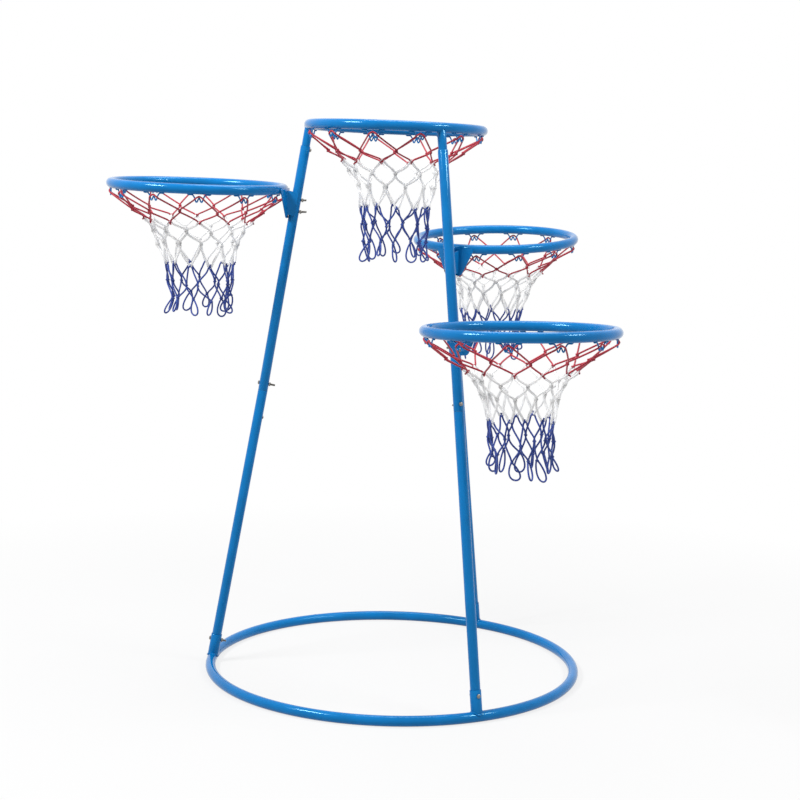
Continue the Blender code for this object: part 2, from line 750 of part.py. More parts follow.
def centre_stand():
    """Hang the whole on one empty and put its footprint's middle on the origin."""
    stand = bpy.data.objects.new("stand", None)
    PARTS.objects.link(stand)
    bpy.context.view_layer.update()
    graph = bpy.context.evaluated_depsgraph_get()
    low = Vector((math.inf, math.inf))
    high = Vector((-math.inf, -math.inf))
    for obj in PARTS.objects:
        if obj.type != "MESH":
            continue
        evaluated = obj.evaluated_get(graph)
        for vertex in evaluated.data.vertices:
            spot = evaluated.matrix_world @ vertex.co
            low = Vector((min(low.x, spot.x), min(low.y, spot.y)))
            high = Vector((max(high.x, spot.x), max(high.y, spot.y)))
    for obj in bpy.data.objects:
        if obj is not stand:
            obj.parent = stand
    stand.location = (-(low.x + high.x) / 2, -(low.y + high.y) / 2, 0.0)


make_base_ring()
make_legs()
make_top_hoop()
make_side_hoops()
make_brackets()
make_fasteners()
weld_hooks()
make_nets()
centre_stand()
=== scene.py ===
import math
import random

import bpy
from mathutils import Matrix, Vector


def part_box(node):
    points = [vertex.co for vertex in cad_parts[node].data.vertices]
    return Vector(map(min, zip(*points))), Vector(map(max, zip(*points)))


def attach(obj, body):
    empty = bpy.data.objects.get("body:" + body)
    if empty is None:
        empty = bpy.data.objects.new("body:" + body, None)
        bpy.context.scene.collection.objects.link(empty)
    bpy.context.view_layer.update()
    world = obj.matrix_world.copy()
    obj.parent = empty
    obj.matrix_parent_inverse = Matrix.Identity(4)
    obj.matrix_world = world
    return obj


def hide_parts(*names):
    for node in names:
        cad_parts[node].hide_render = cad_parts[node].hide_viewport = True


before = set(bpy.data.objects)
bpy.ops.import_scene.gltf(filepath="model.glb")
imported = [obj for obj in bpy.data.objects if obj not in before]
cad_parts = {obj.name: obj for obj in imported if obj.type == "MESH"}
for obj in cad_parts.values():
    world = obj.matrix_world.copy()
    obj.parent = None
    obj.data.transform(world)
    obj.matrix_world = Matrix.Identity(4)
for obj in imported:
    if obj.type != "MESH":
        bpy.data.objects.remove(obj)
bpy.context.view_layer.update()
ringLow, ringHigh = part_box("base_ring")
home = Matrix.Translation(((ringLow.x + ringHigh.x) / 2, (ringLow.y + ringHigh.y) / 2, 0.0))

camera = {
    "lens": 75.18, "sensor": 36.0, "far": 60.0,
    "fromRing": (0.0, -4.6391),     # metres from the middle of the base ring
    "height": 1.398,                # over the floor
    "turn": 0.0011,                 # radians, to the right
    "dip": 0.1340,                  # radians below level
    "roll": 0.0239,
}


def placeCamera():
    turn, dip, roll = camera["turn"], camera["dip"], camera["roll"]
    forward = Vector((math.sin(turn) * math.cos(dip), math.cos(turn) * math.cos(dip), -math.sin(dip)))
    right = Vector((math.cos(turn), -math.sin(turn), 0.0))
    up = right.cross(forward)
    rolledRight = right * math.cos(roll) + up * math.sin(roll)
    rolledUp = up * math.cos(roll) - right * math.sin(roll)
    data = bpy.data.cameras.new("photoCamera")
    data.lens = camera["lens"]
    data.sensor_width = camera["sensor"]
    data.clip_end = camera["far"]
    eye = bpy.data.objects.new("photoCamera", data)
    bpy.context.scene.collection.objects.link(eye)
    spot = Matrix((rolledRight, rolledUp, -forward)).transposed().to_4x4()
    spot.translation = home @ Vector((*camera["fromRing"], camera["height"]))
    eye.matrix_world = spot
    bpy.context.scene.camera = eye


placeCamera()
print("camera placed")


# Where the tubes and hoops lie: the same sizes as the solid model's, angles in degrees
stand = {
    "baseRadius": 0.516, "baseTube": 0.028, "baseLevel": 0.01365,
    "topHeight": 1.5254, "topShift": (-0.0236, 0.0082), "topLean": 0.93,
    "hoopRadius": 0.23845, "hoopTube": 0.0269,
    "hoopUnder": 0.01279,           # from a hoop's middle down to where its hooks begin
    "hoopSpace": 0.0181,            # between a leg and its hoop
    "seamDrop": 0.7354,             # from the top hoop down to the legs' seams
    "play": 0.0003,                 # between pieces that touch
    "legs": {
        "left": {"foot": 178.0, "head": 178.0, "bow": 0.005},
        "front": {"foot": -64.4, "head": -59.7, "bow": -0.001},
        "back": {"foot": 60.0, "head": 57.6, "bow": 0.0},
    },
    "sideHoops": {
        "left": {"drop": 0.1767, "turn": -3.8, "rise": 1.3, "slant": -1.7},
        "front": {"drop": 0.5143, "turn": 8.4, "rise": 2.0, "slant": -0.2},
        "back": {"drop": 0.3431, "turn": -3.8, "rise": 5.5, "slant": 1.2},
    },
    "firstHook": {"top": 17.8, "left": 15.0, "front": 15.0, "back": 15.0},
}
legTube = {
    "outer": 0.0269, "wall": 0.0013,
    "seat": 0.0006,                 # foot of the leg over the base tube
    "bare": 0.060,                  # stub that shows over the leg
}
plate = {"thick": 0.003, "drop": 0.077, "wide": 0.126, "middle": 0.040, "bend": 9.0}


def frameAt(origin, up, out):     # Z along up, X as near out as it can be
    z = up.normalized()
    x = (out - z * out.dot(z)).normalized()
    spot = Matrix((x, z.cross(x), z)).transposed().to_4x4()
    spot.translation = origin
    return spot


def aroundStand(radius, azimuth, height):
    angle = math.radians(azimuth)
    return Vector((radius * math.cos(angle), radius * math.sin(angle), height))


def setOutLegs():
    lines = {}
    for side, leg in stand["legs"].items():
        foot = aroundStand(stand["baseRadius"], leg["foot"], stand["baseLevel"])
        head = topPlace @ aroundStand(stand["hoopRadius"], leg["head"], 0.0)
        share = (stand["topHeight"] - stand["seamDrop"] - foot.z) / (head.z - foot.z)
        knee = foot.lerp(head, share)
        outward = Vector((knee.x, knee.y, 0.0)).normalized()
        knee -= outward * leg["bow"]
        lines[side] = {
            "lower": frameAt(foot, knee - foot, outward), "lowerLength": (knee - foot).length,
            "upper": frameAt(knee, head - knee, outward), "upperLength": (head - knee).length,
            "knee": knee, "head": head,
        }
    return lines


def firstHookAt(name, start):
    return start + math.radians(stand["firstHook"][name])


def setOutHoops():
    leftLeg = math.radians(stand["legs"]["left"]["head"])
    places = {"top": {"middle": topPlace, "firstHook": firstHookAt("top", leftLeg)}}
    for side, hoop in stand["sideHoops"].items():
        knee, head = legLines[side]["knee"], legLines[side]["head"]
        height = stand["topHeight"] - hoop["drop"]
        point = knee + (head - knee) * ((height - knee.z) / (head.z - knee.z))
        azimuth = math.atan2(point.y, point.x) + math.radians(hoop["turn"])
        rise = math.radians(hoop["rise"])
        slant = math.tan(math.radians(hoop["slant"]))
        across, ahead = math.sin(azimuth), math.cos(azimuth)
        out = Vector((ahead * math.cos(rise), across * math.cos(rise), math.sin(rise)))
        along = Vector((-across, ahead, slant))
        atLeg = frameAt(point, out.cross(along), out)
        near = legTube["outer"] / 2 + stand["hoopSpace"]
        reach = near + stand["hoopTube"] / 2
        lean = atLeg.to_3x3().inverted() @ (head - knee).normalized()
        plateIn = near - stand["play"] - plate["thick"]
        plateLow = plate["drop"] * -lean.x / lean.z + legTube["outer"] / 2 / lean.z + stand["play"]
        tip = Matrix.Rotation(math.atan2(plateIn - plateLow, plate["drop"]), 4, "Y")
        places[side] = {
            "middle": atLeg @ Matrix.Translation((reach + stand["hoopRadius"], 0.0, 0.0)),
            "plate": atLeg @ Matrix.Translation((plateIn, 0.0, 0.0)) @ tip,
            "atLeg": atLeg, "firstHook": firstHookAt(side, math.pi),
        }
    return places


topPlace = (Matrix.Translation((*stand["topShift"], stand["topHeight"]))
            @ Matrix.Rotation(math.radians(stand["topLean"]), 4, "Y"))
legLines = setOutLegs()
hoopPlaces = setOutHoops()


# Finishes
def newMaterial(name):
    material = bpy.data.materials.new(name)
    material.use_nodes = True
    nodes, links = material.node_tree.nodes, material.node_tree.links
    return material, nodes, links, nodes["Principled BSDF"]


def addNode(nodes, kind, **values):
    node = nodes.new(kind)
    for key, value in values.items():
        if key in node.inputs:
            node.inputs[key].default_value = value
        else:
            setattr(node, key, value)
    return node


def connect(links, wires):     # each from one node's output to another's input
    for source, output, target, entry in wires:
        links.new(source.outputs[output], target.inputs[entry])


def addRamp(nodes, edges, low, high):     # from the low colour to the high one
    ramp = nodes.new("ShaderNodeValToRGB")
    for element, place, colour in zip(ramp.color_ramp.elements, edges, (low, high)):
        element.position = place
        element.color = (*colour, 1.0)
    return ramp


def addGloss(nodes, finish):     # roughness that wavers round its middle
    gloss = nodes.new("ShaderNodeMapRange")
    below, above = finish["roughSpread"]
    gloss.inputs["To Min"].default_value = finish["roughness"] - below
    gloss.inputs["To Max"].default_value = finish["roughness"] + above
    return gloss


def showMix(nodes, links, share, first, second):     # the share is a number or a socket
    mix = nodes.new("ShaderNodeMixShader")
    if isinstance(share, float):
        mix.inputs["Fac"].default_value = share
    else:
        links.new(share, mix.inputs["Fac"])
    links.new(first, mix.inputs[1])
    links.new(second, mix.inputs[2])
    return mix.outputs["Shader"]


bluePaint = {
    "colour": (0.0020, 0.148, 0.420), "deep": (0.0015, 0.130, 0.372),
    "clouds": 14.0, "cloudEdges": (0.35, 0.62),
    "roughness": 0.12, "roughSpread": (0.04, 0.06),
    "shine": 0.30, "tint": (0.38, 0.85, 1.0),       # the pigment tints the sheen
    "peel": 520.0, "peelDepth": 0.14, "peelHeight": 0.0004,     # the coat's orange peel
    "dust": (0.009, 0.185, 0.470), "scuffs": 60.0, "scuffEdges": (0.66, 0.74), "scuffRough": 0.22,
}


def makeBluePaint():
    material, nodes, links, shader = newMaterial("bluePowderCoat")
    place = nodes.new("ShaderNodeTexCoord")
    clouds = addNode(nodes, "ShaderNodeTexNoise", Scale=bluePaint["clouds"], Detail=4.0)
    tint = addRamp(nodes, bluePaint["cloudEdges"], bluePaint["deep"], bluePaint["colour"])
    gloss = addGloss(nodes, bluePaint)
    peel = addNode(nodes, "ShaderNodeTexNoise", Scale=bluePaint["peel"], Detail=1.5)
    scuffs = addNode(nodes, "ShaderNodeTexNoise", Scale=bluePaint["scuffs"], Detail=5.0, Roughness=0.7)
    worn = addRamp(nodes, bluePaint["scuffEdges"], (0.0, 0.0, 0.0), (1.0, 1.0, 1.0))
    dusty = addNode(nodes, "ShaderNodeMix", data_type="RGBA")
    dusty.inputs["B"].default_value = (*bluePaint["dust"], 1.0)
    rough = addNode(nodes, "ShaderNodeMath", operation="MULTIPLY_ADD")
    rough.inputs[1].default_value = bluePaint["scuffRough"]
    bump = addNode(nodes, "ShaderNodeBump", Strength=bluePaint["peelDepth"],
                   Distance=bluePaint["peelHeight"])
    connect(links, (
        (place, "Object", clouds, "Vector"), (place, "Object", peel, "Vector"),
        (place, "Object", scuffs, "Vector"), (clouds, "Fac", tint, "Fac"),
        (scuffs, "Fac", worn, "Fac"), (worn, "Color", dusty, "Factor"), (tint, "Color", dusty, "A"),
        (dusty, "Result", shader, "Base Color"), (clouds, "Fac", gloss, "Value"),
        (worn, "Color", rough, 0), (gloss, "Result", rough, 2), (rough, "Value", shader, "Roughness"),
        (peel, "Fac", bump, "Height"), (bump, "Normal", shader, "Normal"),
    ))
    shader.inputs["Specular IOR Level"].default_value = bluePaint["shine"]
    shader.inputs["Specular Tint"].default_value = (*bluePaint["tint"], 1.0)
    return material


zincSteel = {
    "colour": (0.28, 0.27, 0.25), "dull": (0.11, 0.105, 0.095),
    "clouds": 160.0, "cloudEdges": (0.30, 0.58), "blooms": 900.0,
    "roughness": 0.25, "roughSpread": (0.08, 0.16), "grain": 0.12, "grainHeight": 0.0002,
}


def makeZincSteel():
    material, nodes, links, shader = newMaterial("zincPlatedSteel")
    place = nodes.new("ShaderNodeTexCoord")
    blooms = addNode(nodes, "ShaderNodeTexVoronoi", Scale=zincSteel["blooms"])
    clouds = addNode(nodes, "ShaderNodeTexNoise", Scale=zincSteel["clouds"], Detail=6.0, Roughness=0.65)
    tint = addRamp(nodes, zincSteel["cloudEdges"], zincSteel["dull"], zincSteel["colour"])
    gloss = addGloss(nodes, zincSteel)
    bump = addNode(nodes, "ShaderNodeBump", Strength=zincSteel["grain"], Distance=zincSteel["grainHeight"])
    connect(links, (
        (place, "Object", blooms, "Vector"), (place, "Object", clouds, "Vector"),
        (clouds, "Fac", tint, "Fac"), (tint, "Color", shader, "Base Color"),
        (blooms, "Distance", gloss, "Value"), (gloss, "Result", shader, "Roughness"),
        (clouds, "Fac", bump, "Height"), (bump, "Normal", shader, "Normal"),
    ))
    shader.inputs["Metallic"].default_value = 1.0
    return material


# glow is the share of light that spreads in the fibres, through the share that passes right through
# groove is each cord's colour darkened where its strands meet: painted shade in the grooves of the twist
cordFinish = {
    "red": {"strand": (0.42, 0.005, 0.026), "groove": (0.15, 0.003, 0.012), "glow": 0.45, "through": 0.0},
    "white": {"strand": (0.88, 0.88, 0.875), "groove": (0.85, 0.85, 0.85), "glow": 0.30, "through": 0.40},
    "navy": {"strand": (0.006, 0.038, 0.275), "groove": (0.003, 0.014, 0.100), "glow": 0.45,
             "through": 0.0},
    "pitch": 0.0052,                # length of cord that one twist takes
    "strands": 3, "grooveShadeEdges": (0.12, 0.55), "strandDepth": 0.55, "strandHeight": 0.0006,
    "fuzz": 2600.0, "fuzzDepth": 0.25, "fuzzHeight": 0.0002,
    "roughness": 0.78, "sheen": 0.25,
    "deep": 0.004,                  # how far light spreads
}


def makeCordMaterial(name, length):
    finish = cordFinish[name]
    material, nodes, links, shader = newMaterial(name + "Cord")
    place = nodes.new("ShaderNodeTexCoord")
    lay = addNode(nodes, "ShaderNodeMapping")
    lay.inputs["Scale"].default_value = (length / cordFinish["pitch"], cordFinish["strands"], 1.0)
    parts = nodes.new("ShaderNodeSeparateXYZ")
    both = addNode(nodes, "ShaderNodeMath", operation="ADD")
    turn = addNode(nodes, "ShaderNodeMath", operation="MULTIPLY")
    turn.inputs[1].default_value = math.pi
    wave = addNode(nodes, "ShaderNodeMath", operation="SINE")
    ridge = addNode(nodes, "ShaderNodeMath", operation="ABSOLUTE")
    fuzz = addNode(nodes, "ShaderNodeTexNoise", Scale=cordFinish["fuzz"], Detail=3.0)
    # painted shade in the grooves between strands, rising to the strand's own colour on the ridges
    tint = addRamp(nodes, cordFinish["grooveShadeEdges"], finish["groove"], finish["strand"])
    coarse = addNode(nodes, "ShaderNodeBump", Strength=cordFinish["strandDepth"],
                     Distance=cordFinish["strandHeight"])
    fine = addNode(nodes, "ShaderNodeBump", Strength=cordFinish["fuzzDepth"],
                   Distance=cordFinish["fuzzHeight"])
    connect(links, (
        (place, "UV", lay, "Vector"), (lay, "Vector", parts, "Vector"), (parts, "X", both, 0),
        (parts, "Y", both, 1), (both, "Value", turn, 0), (turn, "Value", wave, 0),
        (wave, "Value", ridge, 0), (place, "Object", fuzz, "Vector"), (ridge, "Value", tint, "Fac"),
        (ridge, "Value", coarse, "Height"), (fuzz, "Fac", fine, "Height"),
        (coarse, "Normal", fine, "Normal"), (tint, "Color", shader, "Base Color"),
        (fine, "Normal", shader, "Normal"),
    ))
    shader.inputs["Roughness"].default_value = cordFinish["roughness"]
    shader.inputs["Sheen Weight"].default_value = cordFinish["sheen"]
    shader.inputs["Subsurface Weight"].default_value = finish["glow"]
    shader.inputs["Subsurface Radius"].default_value = (1.0, 1.0, 1.0)
    shader.inputs["Subsurface Scale"].default_value = cordFinish["deep"]
    if finish["through"]:
        passing = nodes.new("ShaderNodeBsdfTranslucent")
        links.new(tint.outputs["Color"], passing.inputs["Color"])
        mixed = showMix(nodes, links, finish["through"], shader.outputs["BSDF"], passing.outputs["BSDF"])
        links.new(mixed, nodes["Material Output"].inputs["Surface"])
    return material


paint = makeBluePaint()
zinc = makeZincSteel()
for name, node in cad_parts.items():
    if name.startswith("joint_sleeve"):
        for slot in node.material_slots:
            slot.material = zinc
print("finishes made")


# Ways of working that several pieces share
def startPiece():
    bpy.ops.object.select_all(action="DESELECT")


def current(name):
    piece = bpy.context.active_object
    piece.name = name
    piece.data.name = name
    return piece


def makeActive(piece):
    bpy.ops.object.select_all(action="DESELECT")
    piece.select_set(True)
    bpy.context.view_layer.objects.active = piece


def applyAll(piece):
    makeActive(piece)
    for modifier in list(piece.modifiers):
        bpy.ops.object.modifier_apply(modifier=modifier.name)


def settle(piece, spot):     # puts the place into the mesh
    makeActive(piece)
    bpy.ops.object.transform_apply(location=True, rotation=True, scale=True)
    piece.matrix_world = spot
    bpy.ops.object.transform_apply(location=True, rotation=True, scale=True)
    return piece


def copyTo(piece, name, spot):
    other = piece.copy()
    other.data = piece.data.copy()
    other.name = name
    bpy.context.scene.collection.objects.link(other)
    return settle(other, spot)


def joinAll(pieces, name):
    makeActive(pieces[0])
    for piece in pieces:
        piece.select_set(True)
    bpy.ops.object.join()
    return current(name)


def discard(pieces):
    for piece in pieces:
        bpy.data.objects.remove(piece, do_unlink=True)


def roundEdges(piece, width, angle):
    edge = piece.modifiers.new("edge", "BEVEL")
    edge.width = width
    edge.segments = 2
    edge.limit_method = "ANGLE"
    edge.angle_limit = math.radians(angle)


def cutWith(piece, cutter, operation):     # the cutter is used up
    cut = piece.modifiers.new("cut", "BOOLEAN")
    cut.operation = operation
    cut.solver = "EXACT"
    cut.object = cutter
    applyAll(piece)
    discard([cutter])


def finishPiece(piece, material, nodes, smoothAngle=40):
    makeActive(piece)
    bpy.ops.object.shade_smooth_by_angle(angle=math.radians(smoothAngle))
    piece.data.materials.clear()
    piece.data.materials.append(material)
    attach(piece, "root")
    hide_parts(*nodes)


def wirePiece(name, path, diameter, closed=False, fineness=2, swell=None):     # a round wire, cord or bead
    curve = bpy.data.curves.new(name, "CURVE")
    curve.dimensions = "3D"
    curve.bevel_depth = diameter / 2
    curve.bevel_resolution = fineness
    curve.use_fill_caps = not closed
    spline = curve.splines.new("POLY")
    spline.points.add(len(path) - 1)
    for index, (point, spot) in enumerate(zip(spline.points, path)):
        point.co = (*spot, 1.0)
        point.radius = swell[index] if swell else 1.0
    spline.use_cyclic_u = closed
    piece = bpy.data.objects.new(name, curve)
    bpy.context.scene.collection.objects.link(piece)
    makeActive(piece)
    bpy.ops.object.convert(target="MESH")
    return current(name)


def roundCorners(path, radius, steps=5):
    smooth = [path[0]]
    most = 0.45                     # of each side, so that two corners never meet
    for before, corner, after in zip(path, path[1:], path[2:]):
        first = corner + (before - corner).normalized() * min(radius, (before - corner).length * most)
        last = corner + (after - corner).normalized() * min(radius, (after - corner).length * most)
        for step in range(steps + 1):
            share = step / steps
            smooth.append(first.lerp(corner, share).lerp(corner.lerp(last, share), share))
    smooth.append(path[-1])
    return smooth


# Weld beads: overlapping drops, each a little wider or narrower than the next
beads = {
    "least": 0.86, "ripple": 0.16, "uneven": 0.10,
    "steps": 72, "saddle": 0.88,    # round a tube, and how far the bead follows the ring's curve
    "seeds": {"socket": 0, "ringSeam": 9, "stub": 20, "underWeld": 40, "topWeld": 50},
}


def weldBead(name, path, width, closed, seed):
    chance = random.Random(seed)
    swell = [beads["least"] + beads["ripple"] * (index % 2) + beads["uneven"] * chance.random()
             for index in range(len(path))]
    return wirePiece(name, path, width, closed, 1, swell)


def tubeOnTubeWeld(name, spot, radius, ringTube, width, seed):
    path = []                       # spot's Z is the standing tube's axis, its X lies across the ring
    for index in range(beads["steps"]):
        angle = math.tau * index / beads["steps"]
        across = radius * math.cos(angle)
        saddle = ringTube / 2 * math.sqrt(1.0 - beads["saddle"] * (across / radius) ** 2)
        path.append(spot @ Vector((across, radius * math.sin(angle), saddle)))
    return weldBead(name, path, width, True, seed)


# Tubes: open ones with a wall and broken edges, and closed rings
tubes = {"sides": 40, "rim": 0.0004, "rimAngle": 50, "baseSteps": (208, 28), "hoopSteps": (168, 24)}


def openTube(name, spot, low, high, outer, wall):
    startPiece()
    bpy.ops.mesh.primitive_cylinder_add(vertices=tubes["sides"], radius=outer / 2, depth=high - low,
                                        end_fill_type="NOTHING", location=(0.0, 0.0, (low + high) / 2))
    tube = current(name)
    shell = tube.modifiers.new("wall", "SOLIDIFY")
    shell.thickness = wall
    shell.offset = -1.0
    roundEdges(tube, tubes["rim"], tubes["rimAngle"])
    applyAll(tube)
    return settle(tube, spot)


def roundRing(name, spot, radius, tube, steps):
    startPiece()
    bpy.ops.mesh.primitive_torus_add(major_radius=radius, minor_radius=tube / 2,
                                     major_segments=steps[0], minor_segments=steps[1])
    return settle(current(name), spot)


# Base ring with its three sockets
baseRing = {
    "socketWall": 0.0015, "socketLength": 0.069, "socketStart": 0.003, "weld": 0.0042,
    "seamAt": 118.0, "seamWidth": 0.0016, "seamFrom": -60, "seamSweep": 300,    # ground off underneath
    "seamSteps": 24,
}


def makeRingSeam(middle):     # where the bent tube's ends are welded together
    seam = []
    for index in range(baseRing["seamSteps"] + 1):
        angle = math.radians(baseRing["seamFrom"] + baseRing["seamSweep"] * index / baseRing["seamSteps"])
        out = stand["baseRadius"] + stand["baseTube"] / 2 * math.cos(angle)
        level = stand["baseTube"] / 2 * math.sin(angle)
        seam.append(middle @ aroundStand(out, baseRing["seamAt"], level))
    return weldBead("seam", seam, baseRing["seamWidth"], False, beads["seeds"]["ringSeam"])


def makeBaseRing():
    middle = home @ Matrix.Translation((0.0, 0.0, stand["baseLevel"]))
    parts = [roundRing("ring", middle, stand["baseRadius"], stand["baseTube"], tubes["baseSteps"])]
    socket = legTube["outer"] + 2 * (stand["play"] + baseRing["socketWall"])
    for number, line in enumerate(legLines.values()):
        spot = home @ line["lower"]
        parts.append(openTube("socket", spot, baseRing["socketStart"], baseRing["socketLength"],
                              socket, baseRing["socketWall"]))
        parts.append(tubeOnTubeWeld("weld", spot, socket / 2, stand["baseTube"], baseRing["weld"],
                                    beads["seeds"]["socket"] + number))
    parts.append(makeRingSeam(middle))
    finishPiece(joinAll(parts, "baseRingFinished"), paint, ["base_ring"], 65)


makeBaseRing()
print("base ring made")


# Legs: a lower and an upper tube on each side
def makeLegs():
    foot = stand["baseTube"] / 2 + legTube["seat"]
    play = stand["play"] / 2
    for side, line in legLines.items():
        for half, low, short in (("lower", foot, play), ("upper", play, legTube["bare"])):
            tube = openTube(f"{half}Leg.{side}", home @ line[half], low, line[half + "Length"] - short,
                            legTube["outer"], legTube["wall"])
            finishPiece(tube, paint, [f"{half}_leg_{side}"])


makeLegs()
print("legs made")


# Hoops with their stubs and net hooks
hook = {
    "count": 12, "wire": 0.004, "corner": 0.0030,
    # along the tube and down from its underside, from the middle of the hook outwards
    "shape": ((0.0, 0.009), (0.0055, 0.0215), (0.0085, 0.0205),
              (0.0110, 0.0110), (0.0170, 0.0018), (0.027, 0.0012)),
    # a weld drop over each end of the wire
    "weld": (0.0033, 0.0058, 0.0029), "weldAt": 0.0262, "weldDown": 0.0009,
}
stub = {"outer": 0.02302, "wall": 0.0015, "length": 0.096, "under": 0.004, "weld": 0.0040}


def makeHook():
    half = [Vector((0.0, along, -stand["hoopUnder"] - down)) for along, down in hook["shape"]]
    path = [Vector((0.0, -point.y, point.z)) for point in reversed(half[1:])] + half
    return wirePiece("hook", roundCorners(path, hook["corner"]), hook["wire"])


def makeHookWeld():
    startPiece()
    bpy.ops.mesh.primitive_uv_sphere_add(segments=12, ring_count=8, radius=1.0, scale=hook["weld"])
    return settle(current("hookWeld"), Matrix())


def hookParts(name):     # the hooks of one hoop, set out from the first
    place = hoopPlaces[name]
    shape, weld = makeHook(), makeHookWeld()
    parts = []
    for index in range(hook["count"]):
        angle = place["firstHook"] + math.tau * index / hook["count"]
        spot = (home @ place["middle"] @ Matrix.Rotation(angle, 4, "Z")
                @ Matrix.Translation((stand["hoopRadius"], 0.0, 0.0)))
        parts.append(copyTo(shape, "hookCopy", spot))
        for way in (-1, 1):
            foot = Vector((0.0, way * hook["weldAt"], -stand["hoopUnder"] - hook["weldDown"]))
            parts.append(copyTo(weld, "weldCopy", spot @ Matrix.Translation(foot)))
    discard([shape, weld])
    return parts


def hoopRing(name):
    return roundRing("ring", home @ hoopPlaces[name]["middle"], stand["hoopRadius"], stand["hoopTube"],
                     tubes["hoopSteps"])


def makeTopHoop():
    parts = [hoopRing("top")]
    for number, line in enumerate(legLines.values()):
        spot = home @ line["upper"] @ Matrix.Translation((0.0, 0.0, line["upperLength"]))
        down = spot @ Matrix.Rotation(math.pi, 4, "X")
        parts.append(openTube("stub", spot, -stub["length"], -stub["under"], stub["outer"], stub["wall"]))
        parts.append(tubeOnTubeWeld("weld", down, stub["outer"] / 2, stand["hoopTube"], stub["weld"],
                                    beads["seeds"]["stub"] + number))
    parts += hookParts("top")
    finishPiece(joinAll(parts, "topHoopFinished"), paint, ["top_hoop"], 65)


def makeSideHoops():
    for side in stand["sideHoops"]:
        parts = [hoopRing(side)] + hookParts(side)
        finishPiece(joinAll(parts, f"{side}HoopFinished"), paint, [f"{side}_hoop"], 65)


makeTopHoop()
makeSideHoops()
print("hoops made")


# Brackets: the solid one with its edges rounded, and its welds to the hoop
bracket = {
    "edge": 0.0007, "edgeAngle": 40, "merge": 0.00002, "flat": 1.0,
    "weldShort": 0.006, "weldSteps": 44,        # the beads stop short of the plate's sides
    "welds": {
        "underWeld": {"width": 0.0052, "out": 0.0012, "level": -0.0068},
        "topWeld": {"width": 0.0030, "out": -0.0008, "level": 0.0022},
    },
}


def plateOut(across):     # how far the plate's face is bent towards the hoop
    wing = max(abs(across) - plate["middle"] / 2, 0.0)
    return plate["thick"] + wing * math.tan(math.radians(plate["bend"]))


def copyOfBracket(side):     # a piece of its own, so it drops the marks and the parent of the solid one
    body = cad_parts[f"{side}_bracket"].copy()
    body.data = body.data.copy()
    body.name = "bracketCopy"
    for mark in [key for key in body.keys() if key.startswith("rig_")]:
        del body[mark]
    body.parent = None
    bpy.context.scene.collection.objects.link(body)
    makeActive(body)
    bpy.ops.object.mode_set(mode="EDIT")
    bpy.ops.mesh.select_all(action="SELECT")
    bpy.ops.mesh.remove_doubles(threshold=bracket["merge"])
    bpy.ops.mesh.dissolve_limited(angle_limit=math.radians(bracket["flat"]))
    bpy.ops.object.mode_set(mode="OBJECT")
    roundEdges(body, bracket["edge"], bracket["edgeAngle"])
    applyAll(body)
    return body


def bracketWeld(name, spot, number):
    bead = bracket["welds"][name]
    half = plate["wide"] / 2 - bracket["weldShort"]
    path = []
    for index in range(bracket["weldSteps"] + 1):
        across = -half + 2 * half * index / bracket["weldSteps"]
        path.append(spot @ Vector((plateOut(across) + bead["out"], across, bead["level"])))
    return weldBead(name, path, bead["width"], False, beads["seeds"][name] + number)


def makeBrackets():
    for number, side in enumerate(stand["sideHoops"]):
        spot = home @ hoopPlaces[side]["plate"]
        parts = [copyOfBracket(side)] + [bracketWeld(name, spot, number) for name in bracket["welds"]]
        finishPiece(joinAll(parts, f"{side}BracketFinished"), paint, [f"{side}_bracket"], 30)


makeBrackets()
print("brackets made")


# Bolts, nuts, screws and rivets: one of each is modelled and copied
fastener = {
    "bolt": 0.006, "flats": 0.010, "head": 0.004, "nut": 0.005,
    "longBolt": 0.055, "shortBolt": 0.045, "intoHead": 0.0005,
    "pitch": 0.001, "threadDepth": 0.00045, "threaded": 0.024, "sides": 16,
    "corners": 1.12,                # of the hexagon's: the ball that turns them off
    "ballRise": {"bothEnds": 0.62, "oneEnd": 1.10},
    "screwHead": 0.0105, "screwHeight": 0.004, "rivetHead": 0.009, "rivetHeight": 0.0025,
    "recess": (0.50, 0.12, 0.9),    # shares of the screw's head, along, across and deep
    "socketBoltAt": 0.054, "seamBoltAt": 0.019,                 # up the leg's tubes
    "stubScrewAt": 0.069, "rivetAt": 0.077,                     # down from the tubes' upper ends
    "bracketBolts": {"upper": 0.029, "lower": 0.061},           # down the plate
}


def hexBlock(name, low, high, ends):     # corners turned off at the high end or at both
    startPiece()
    corner = fastener["flats"] / math.sqrt(3)
    bpy.ops.mesh.primitive_cylinder_add(vertices=6, radius=corner, depth=high - low,
                                        location=(0.0, 0.0, (low + high) / 2))
    block = settle(current(name), Matrix())
    startPiece()
    bpy.ops.mesh.primitive_uv_sphere_add(segments=32, ring_count=24, radius=1.0)
    ball = current("ball")
    wide = corner * fastener["corners"]
    ball.scale = (wide, wide, (high - low) * fastener["ballRise"][ends])
    ball.location = (0.0, 0.0, (low + high) / 2 if ends == "bothEnds" else low)
    settle(ball, Matrix())
    cutWith(block, ball, "INTERSECT")
    return block


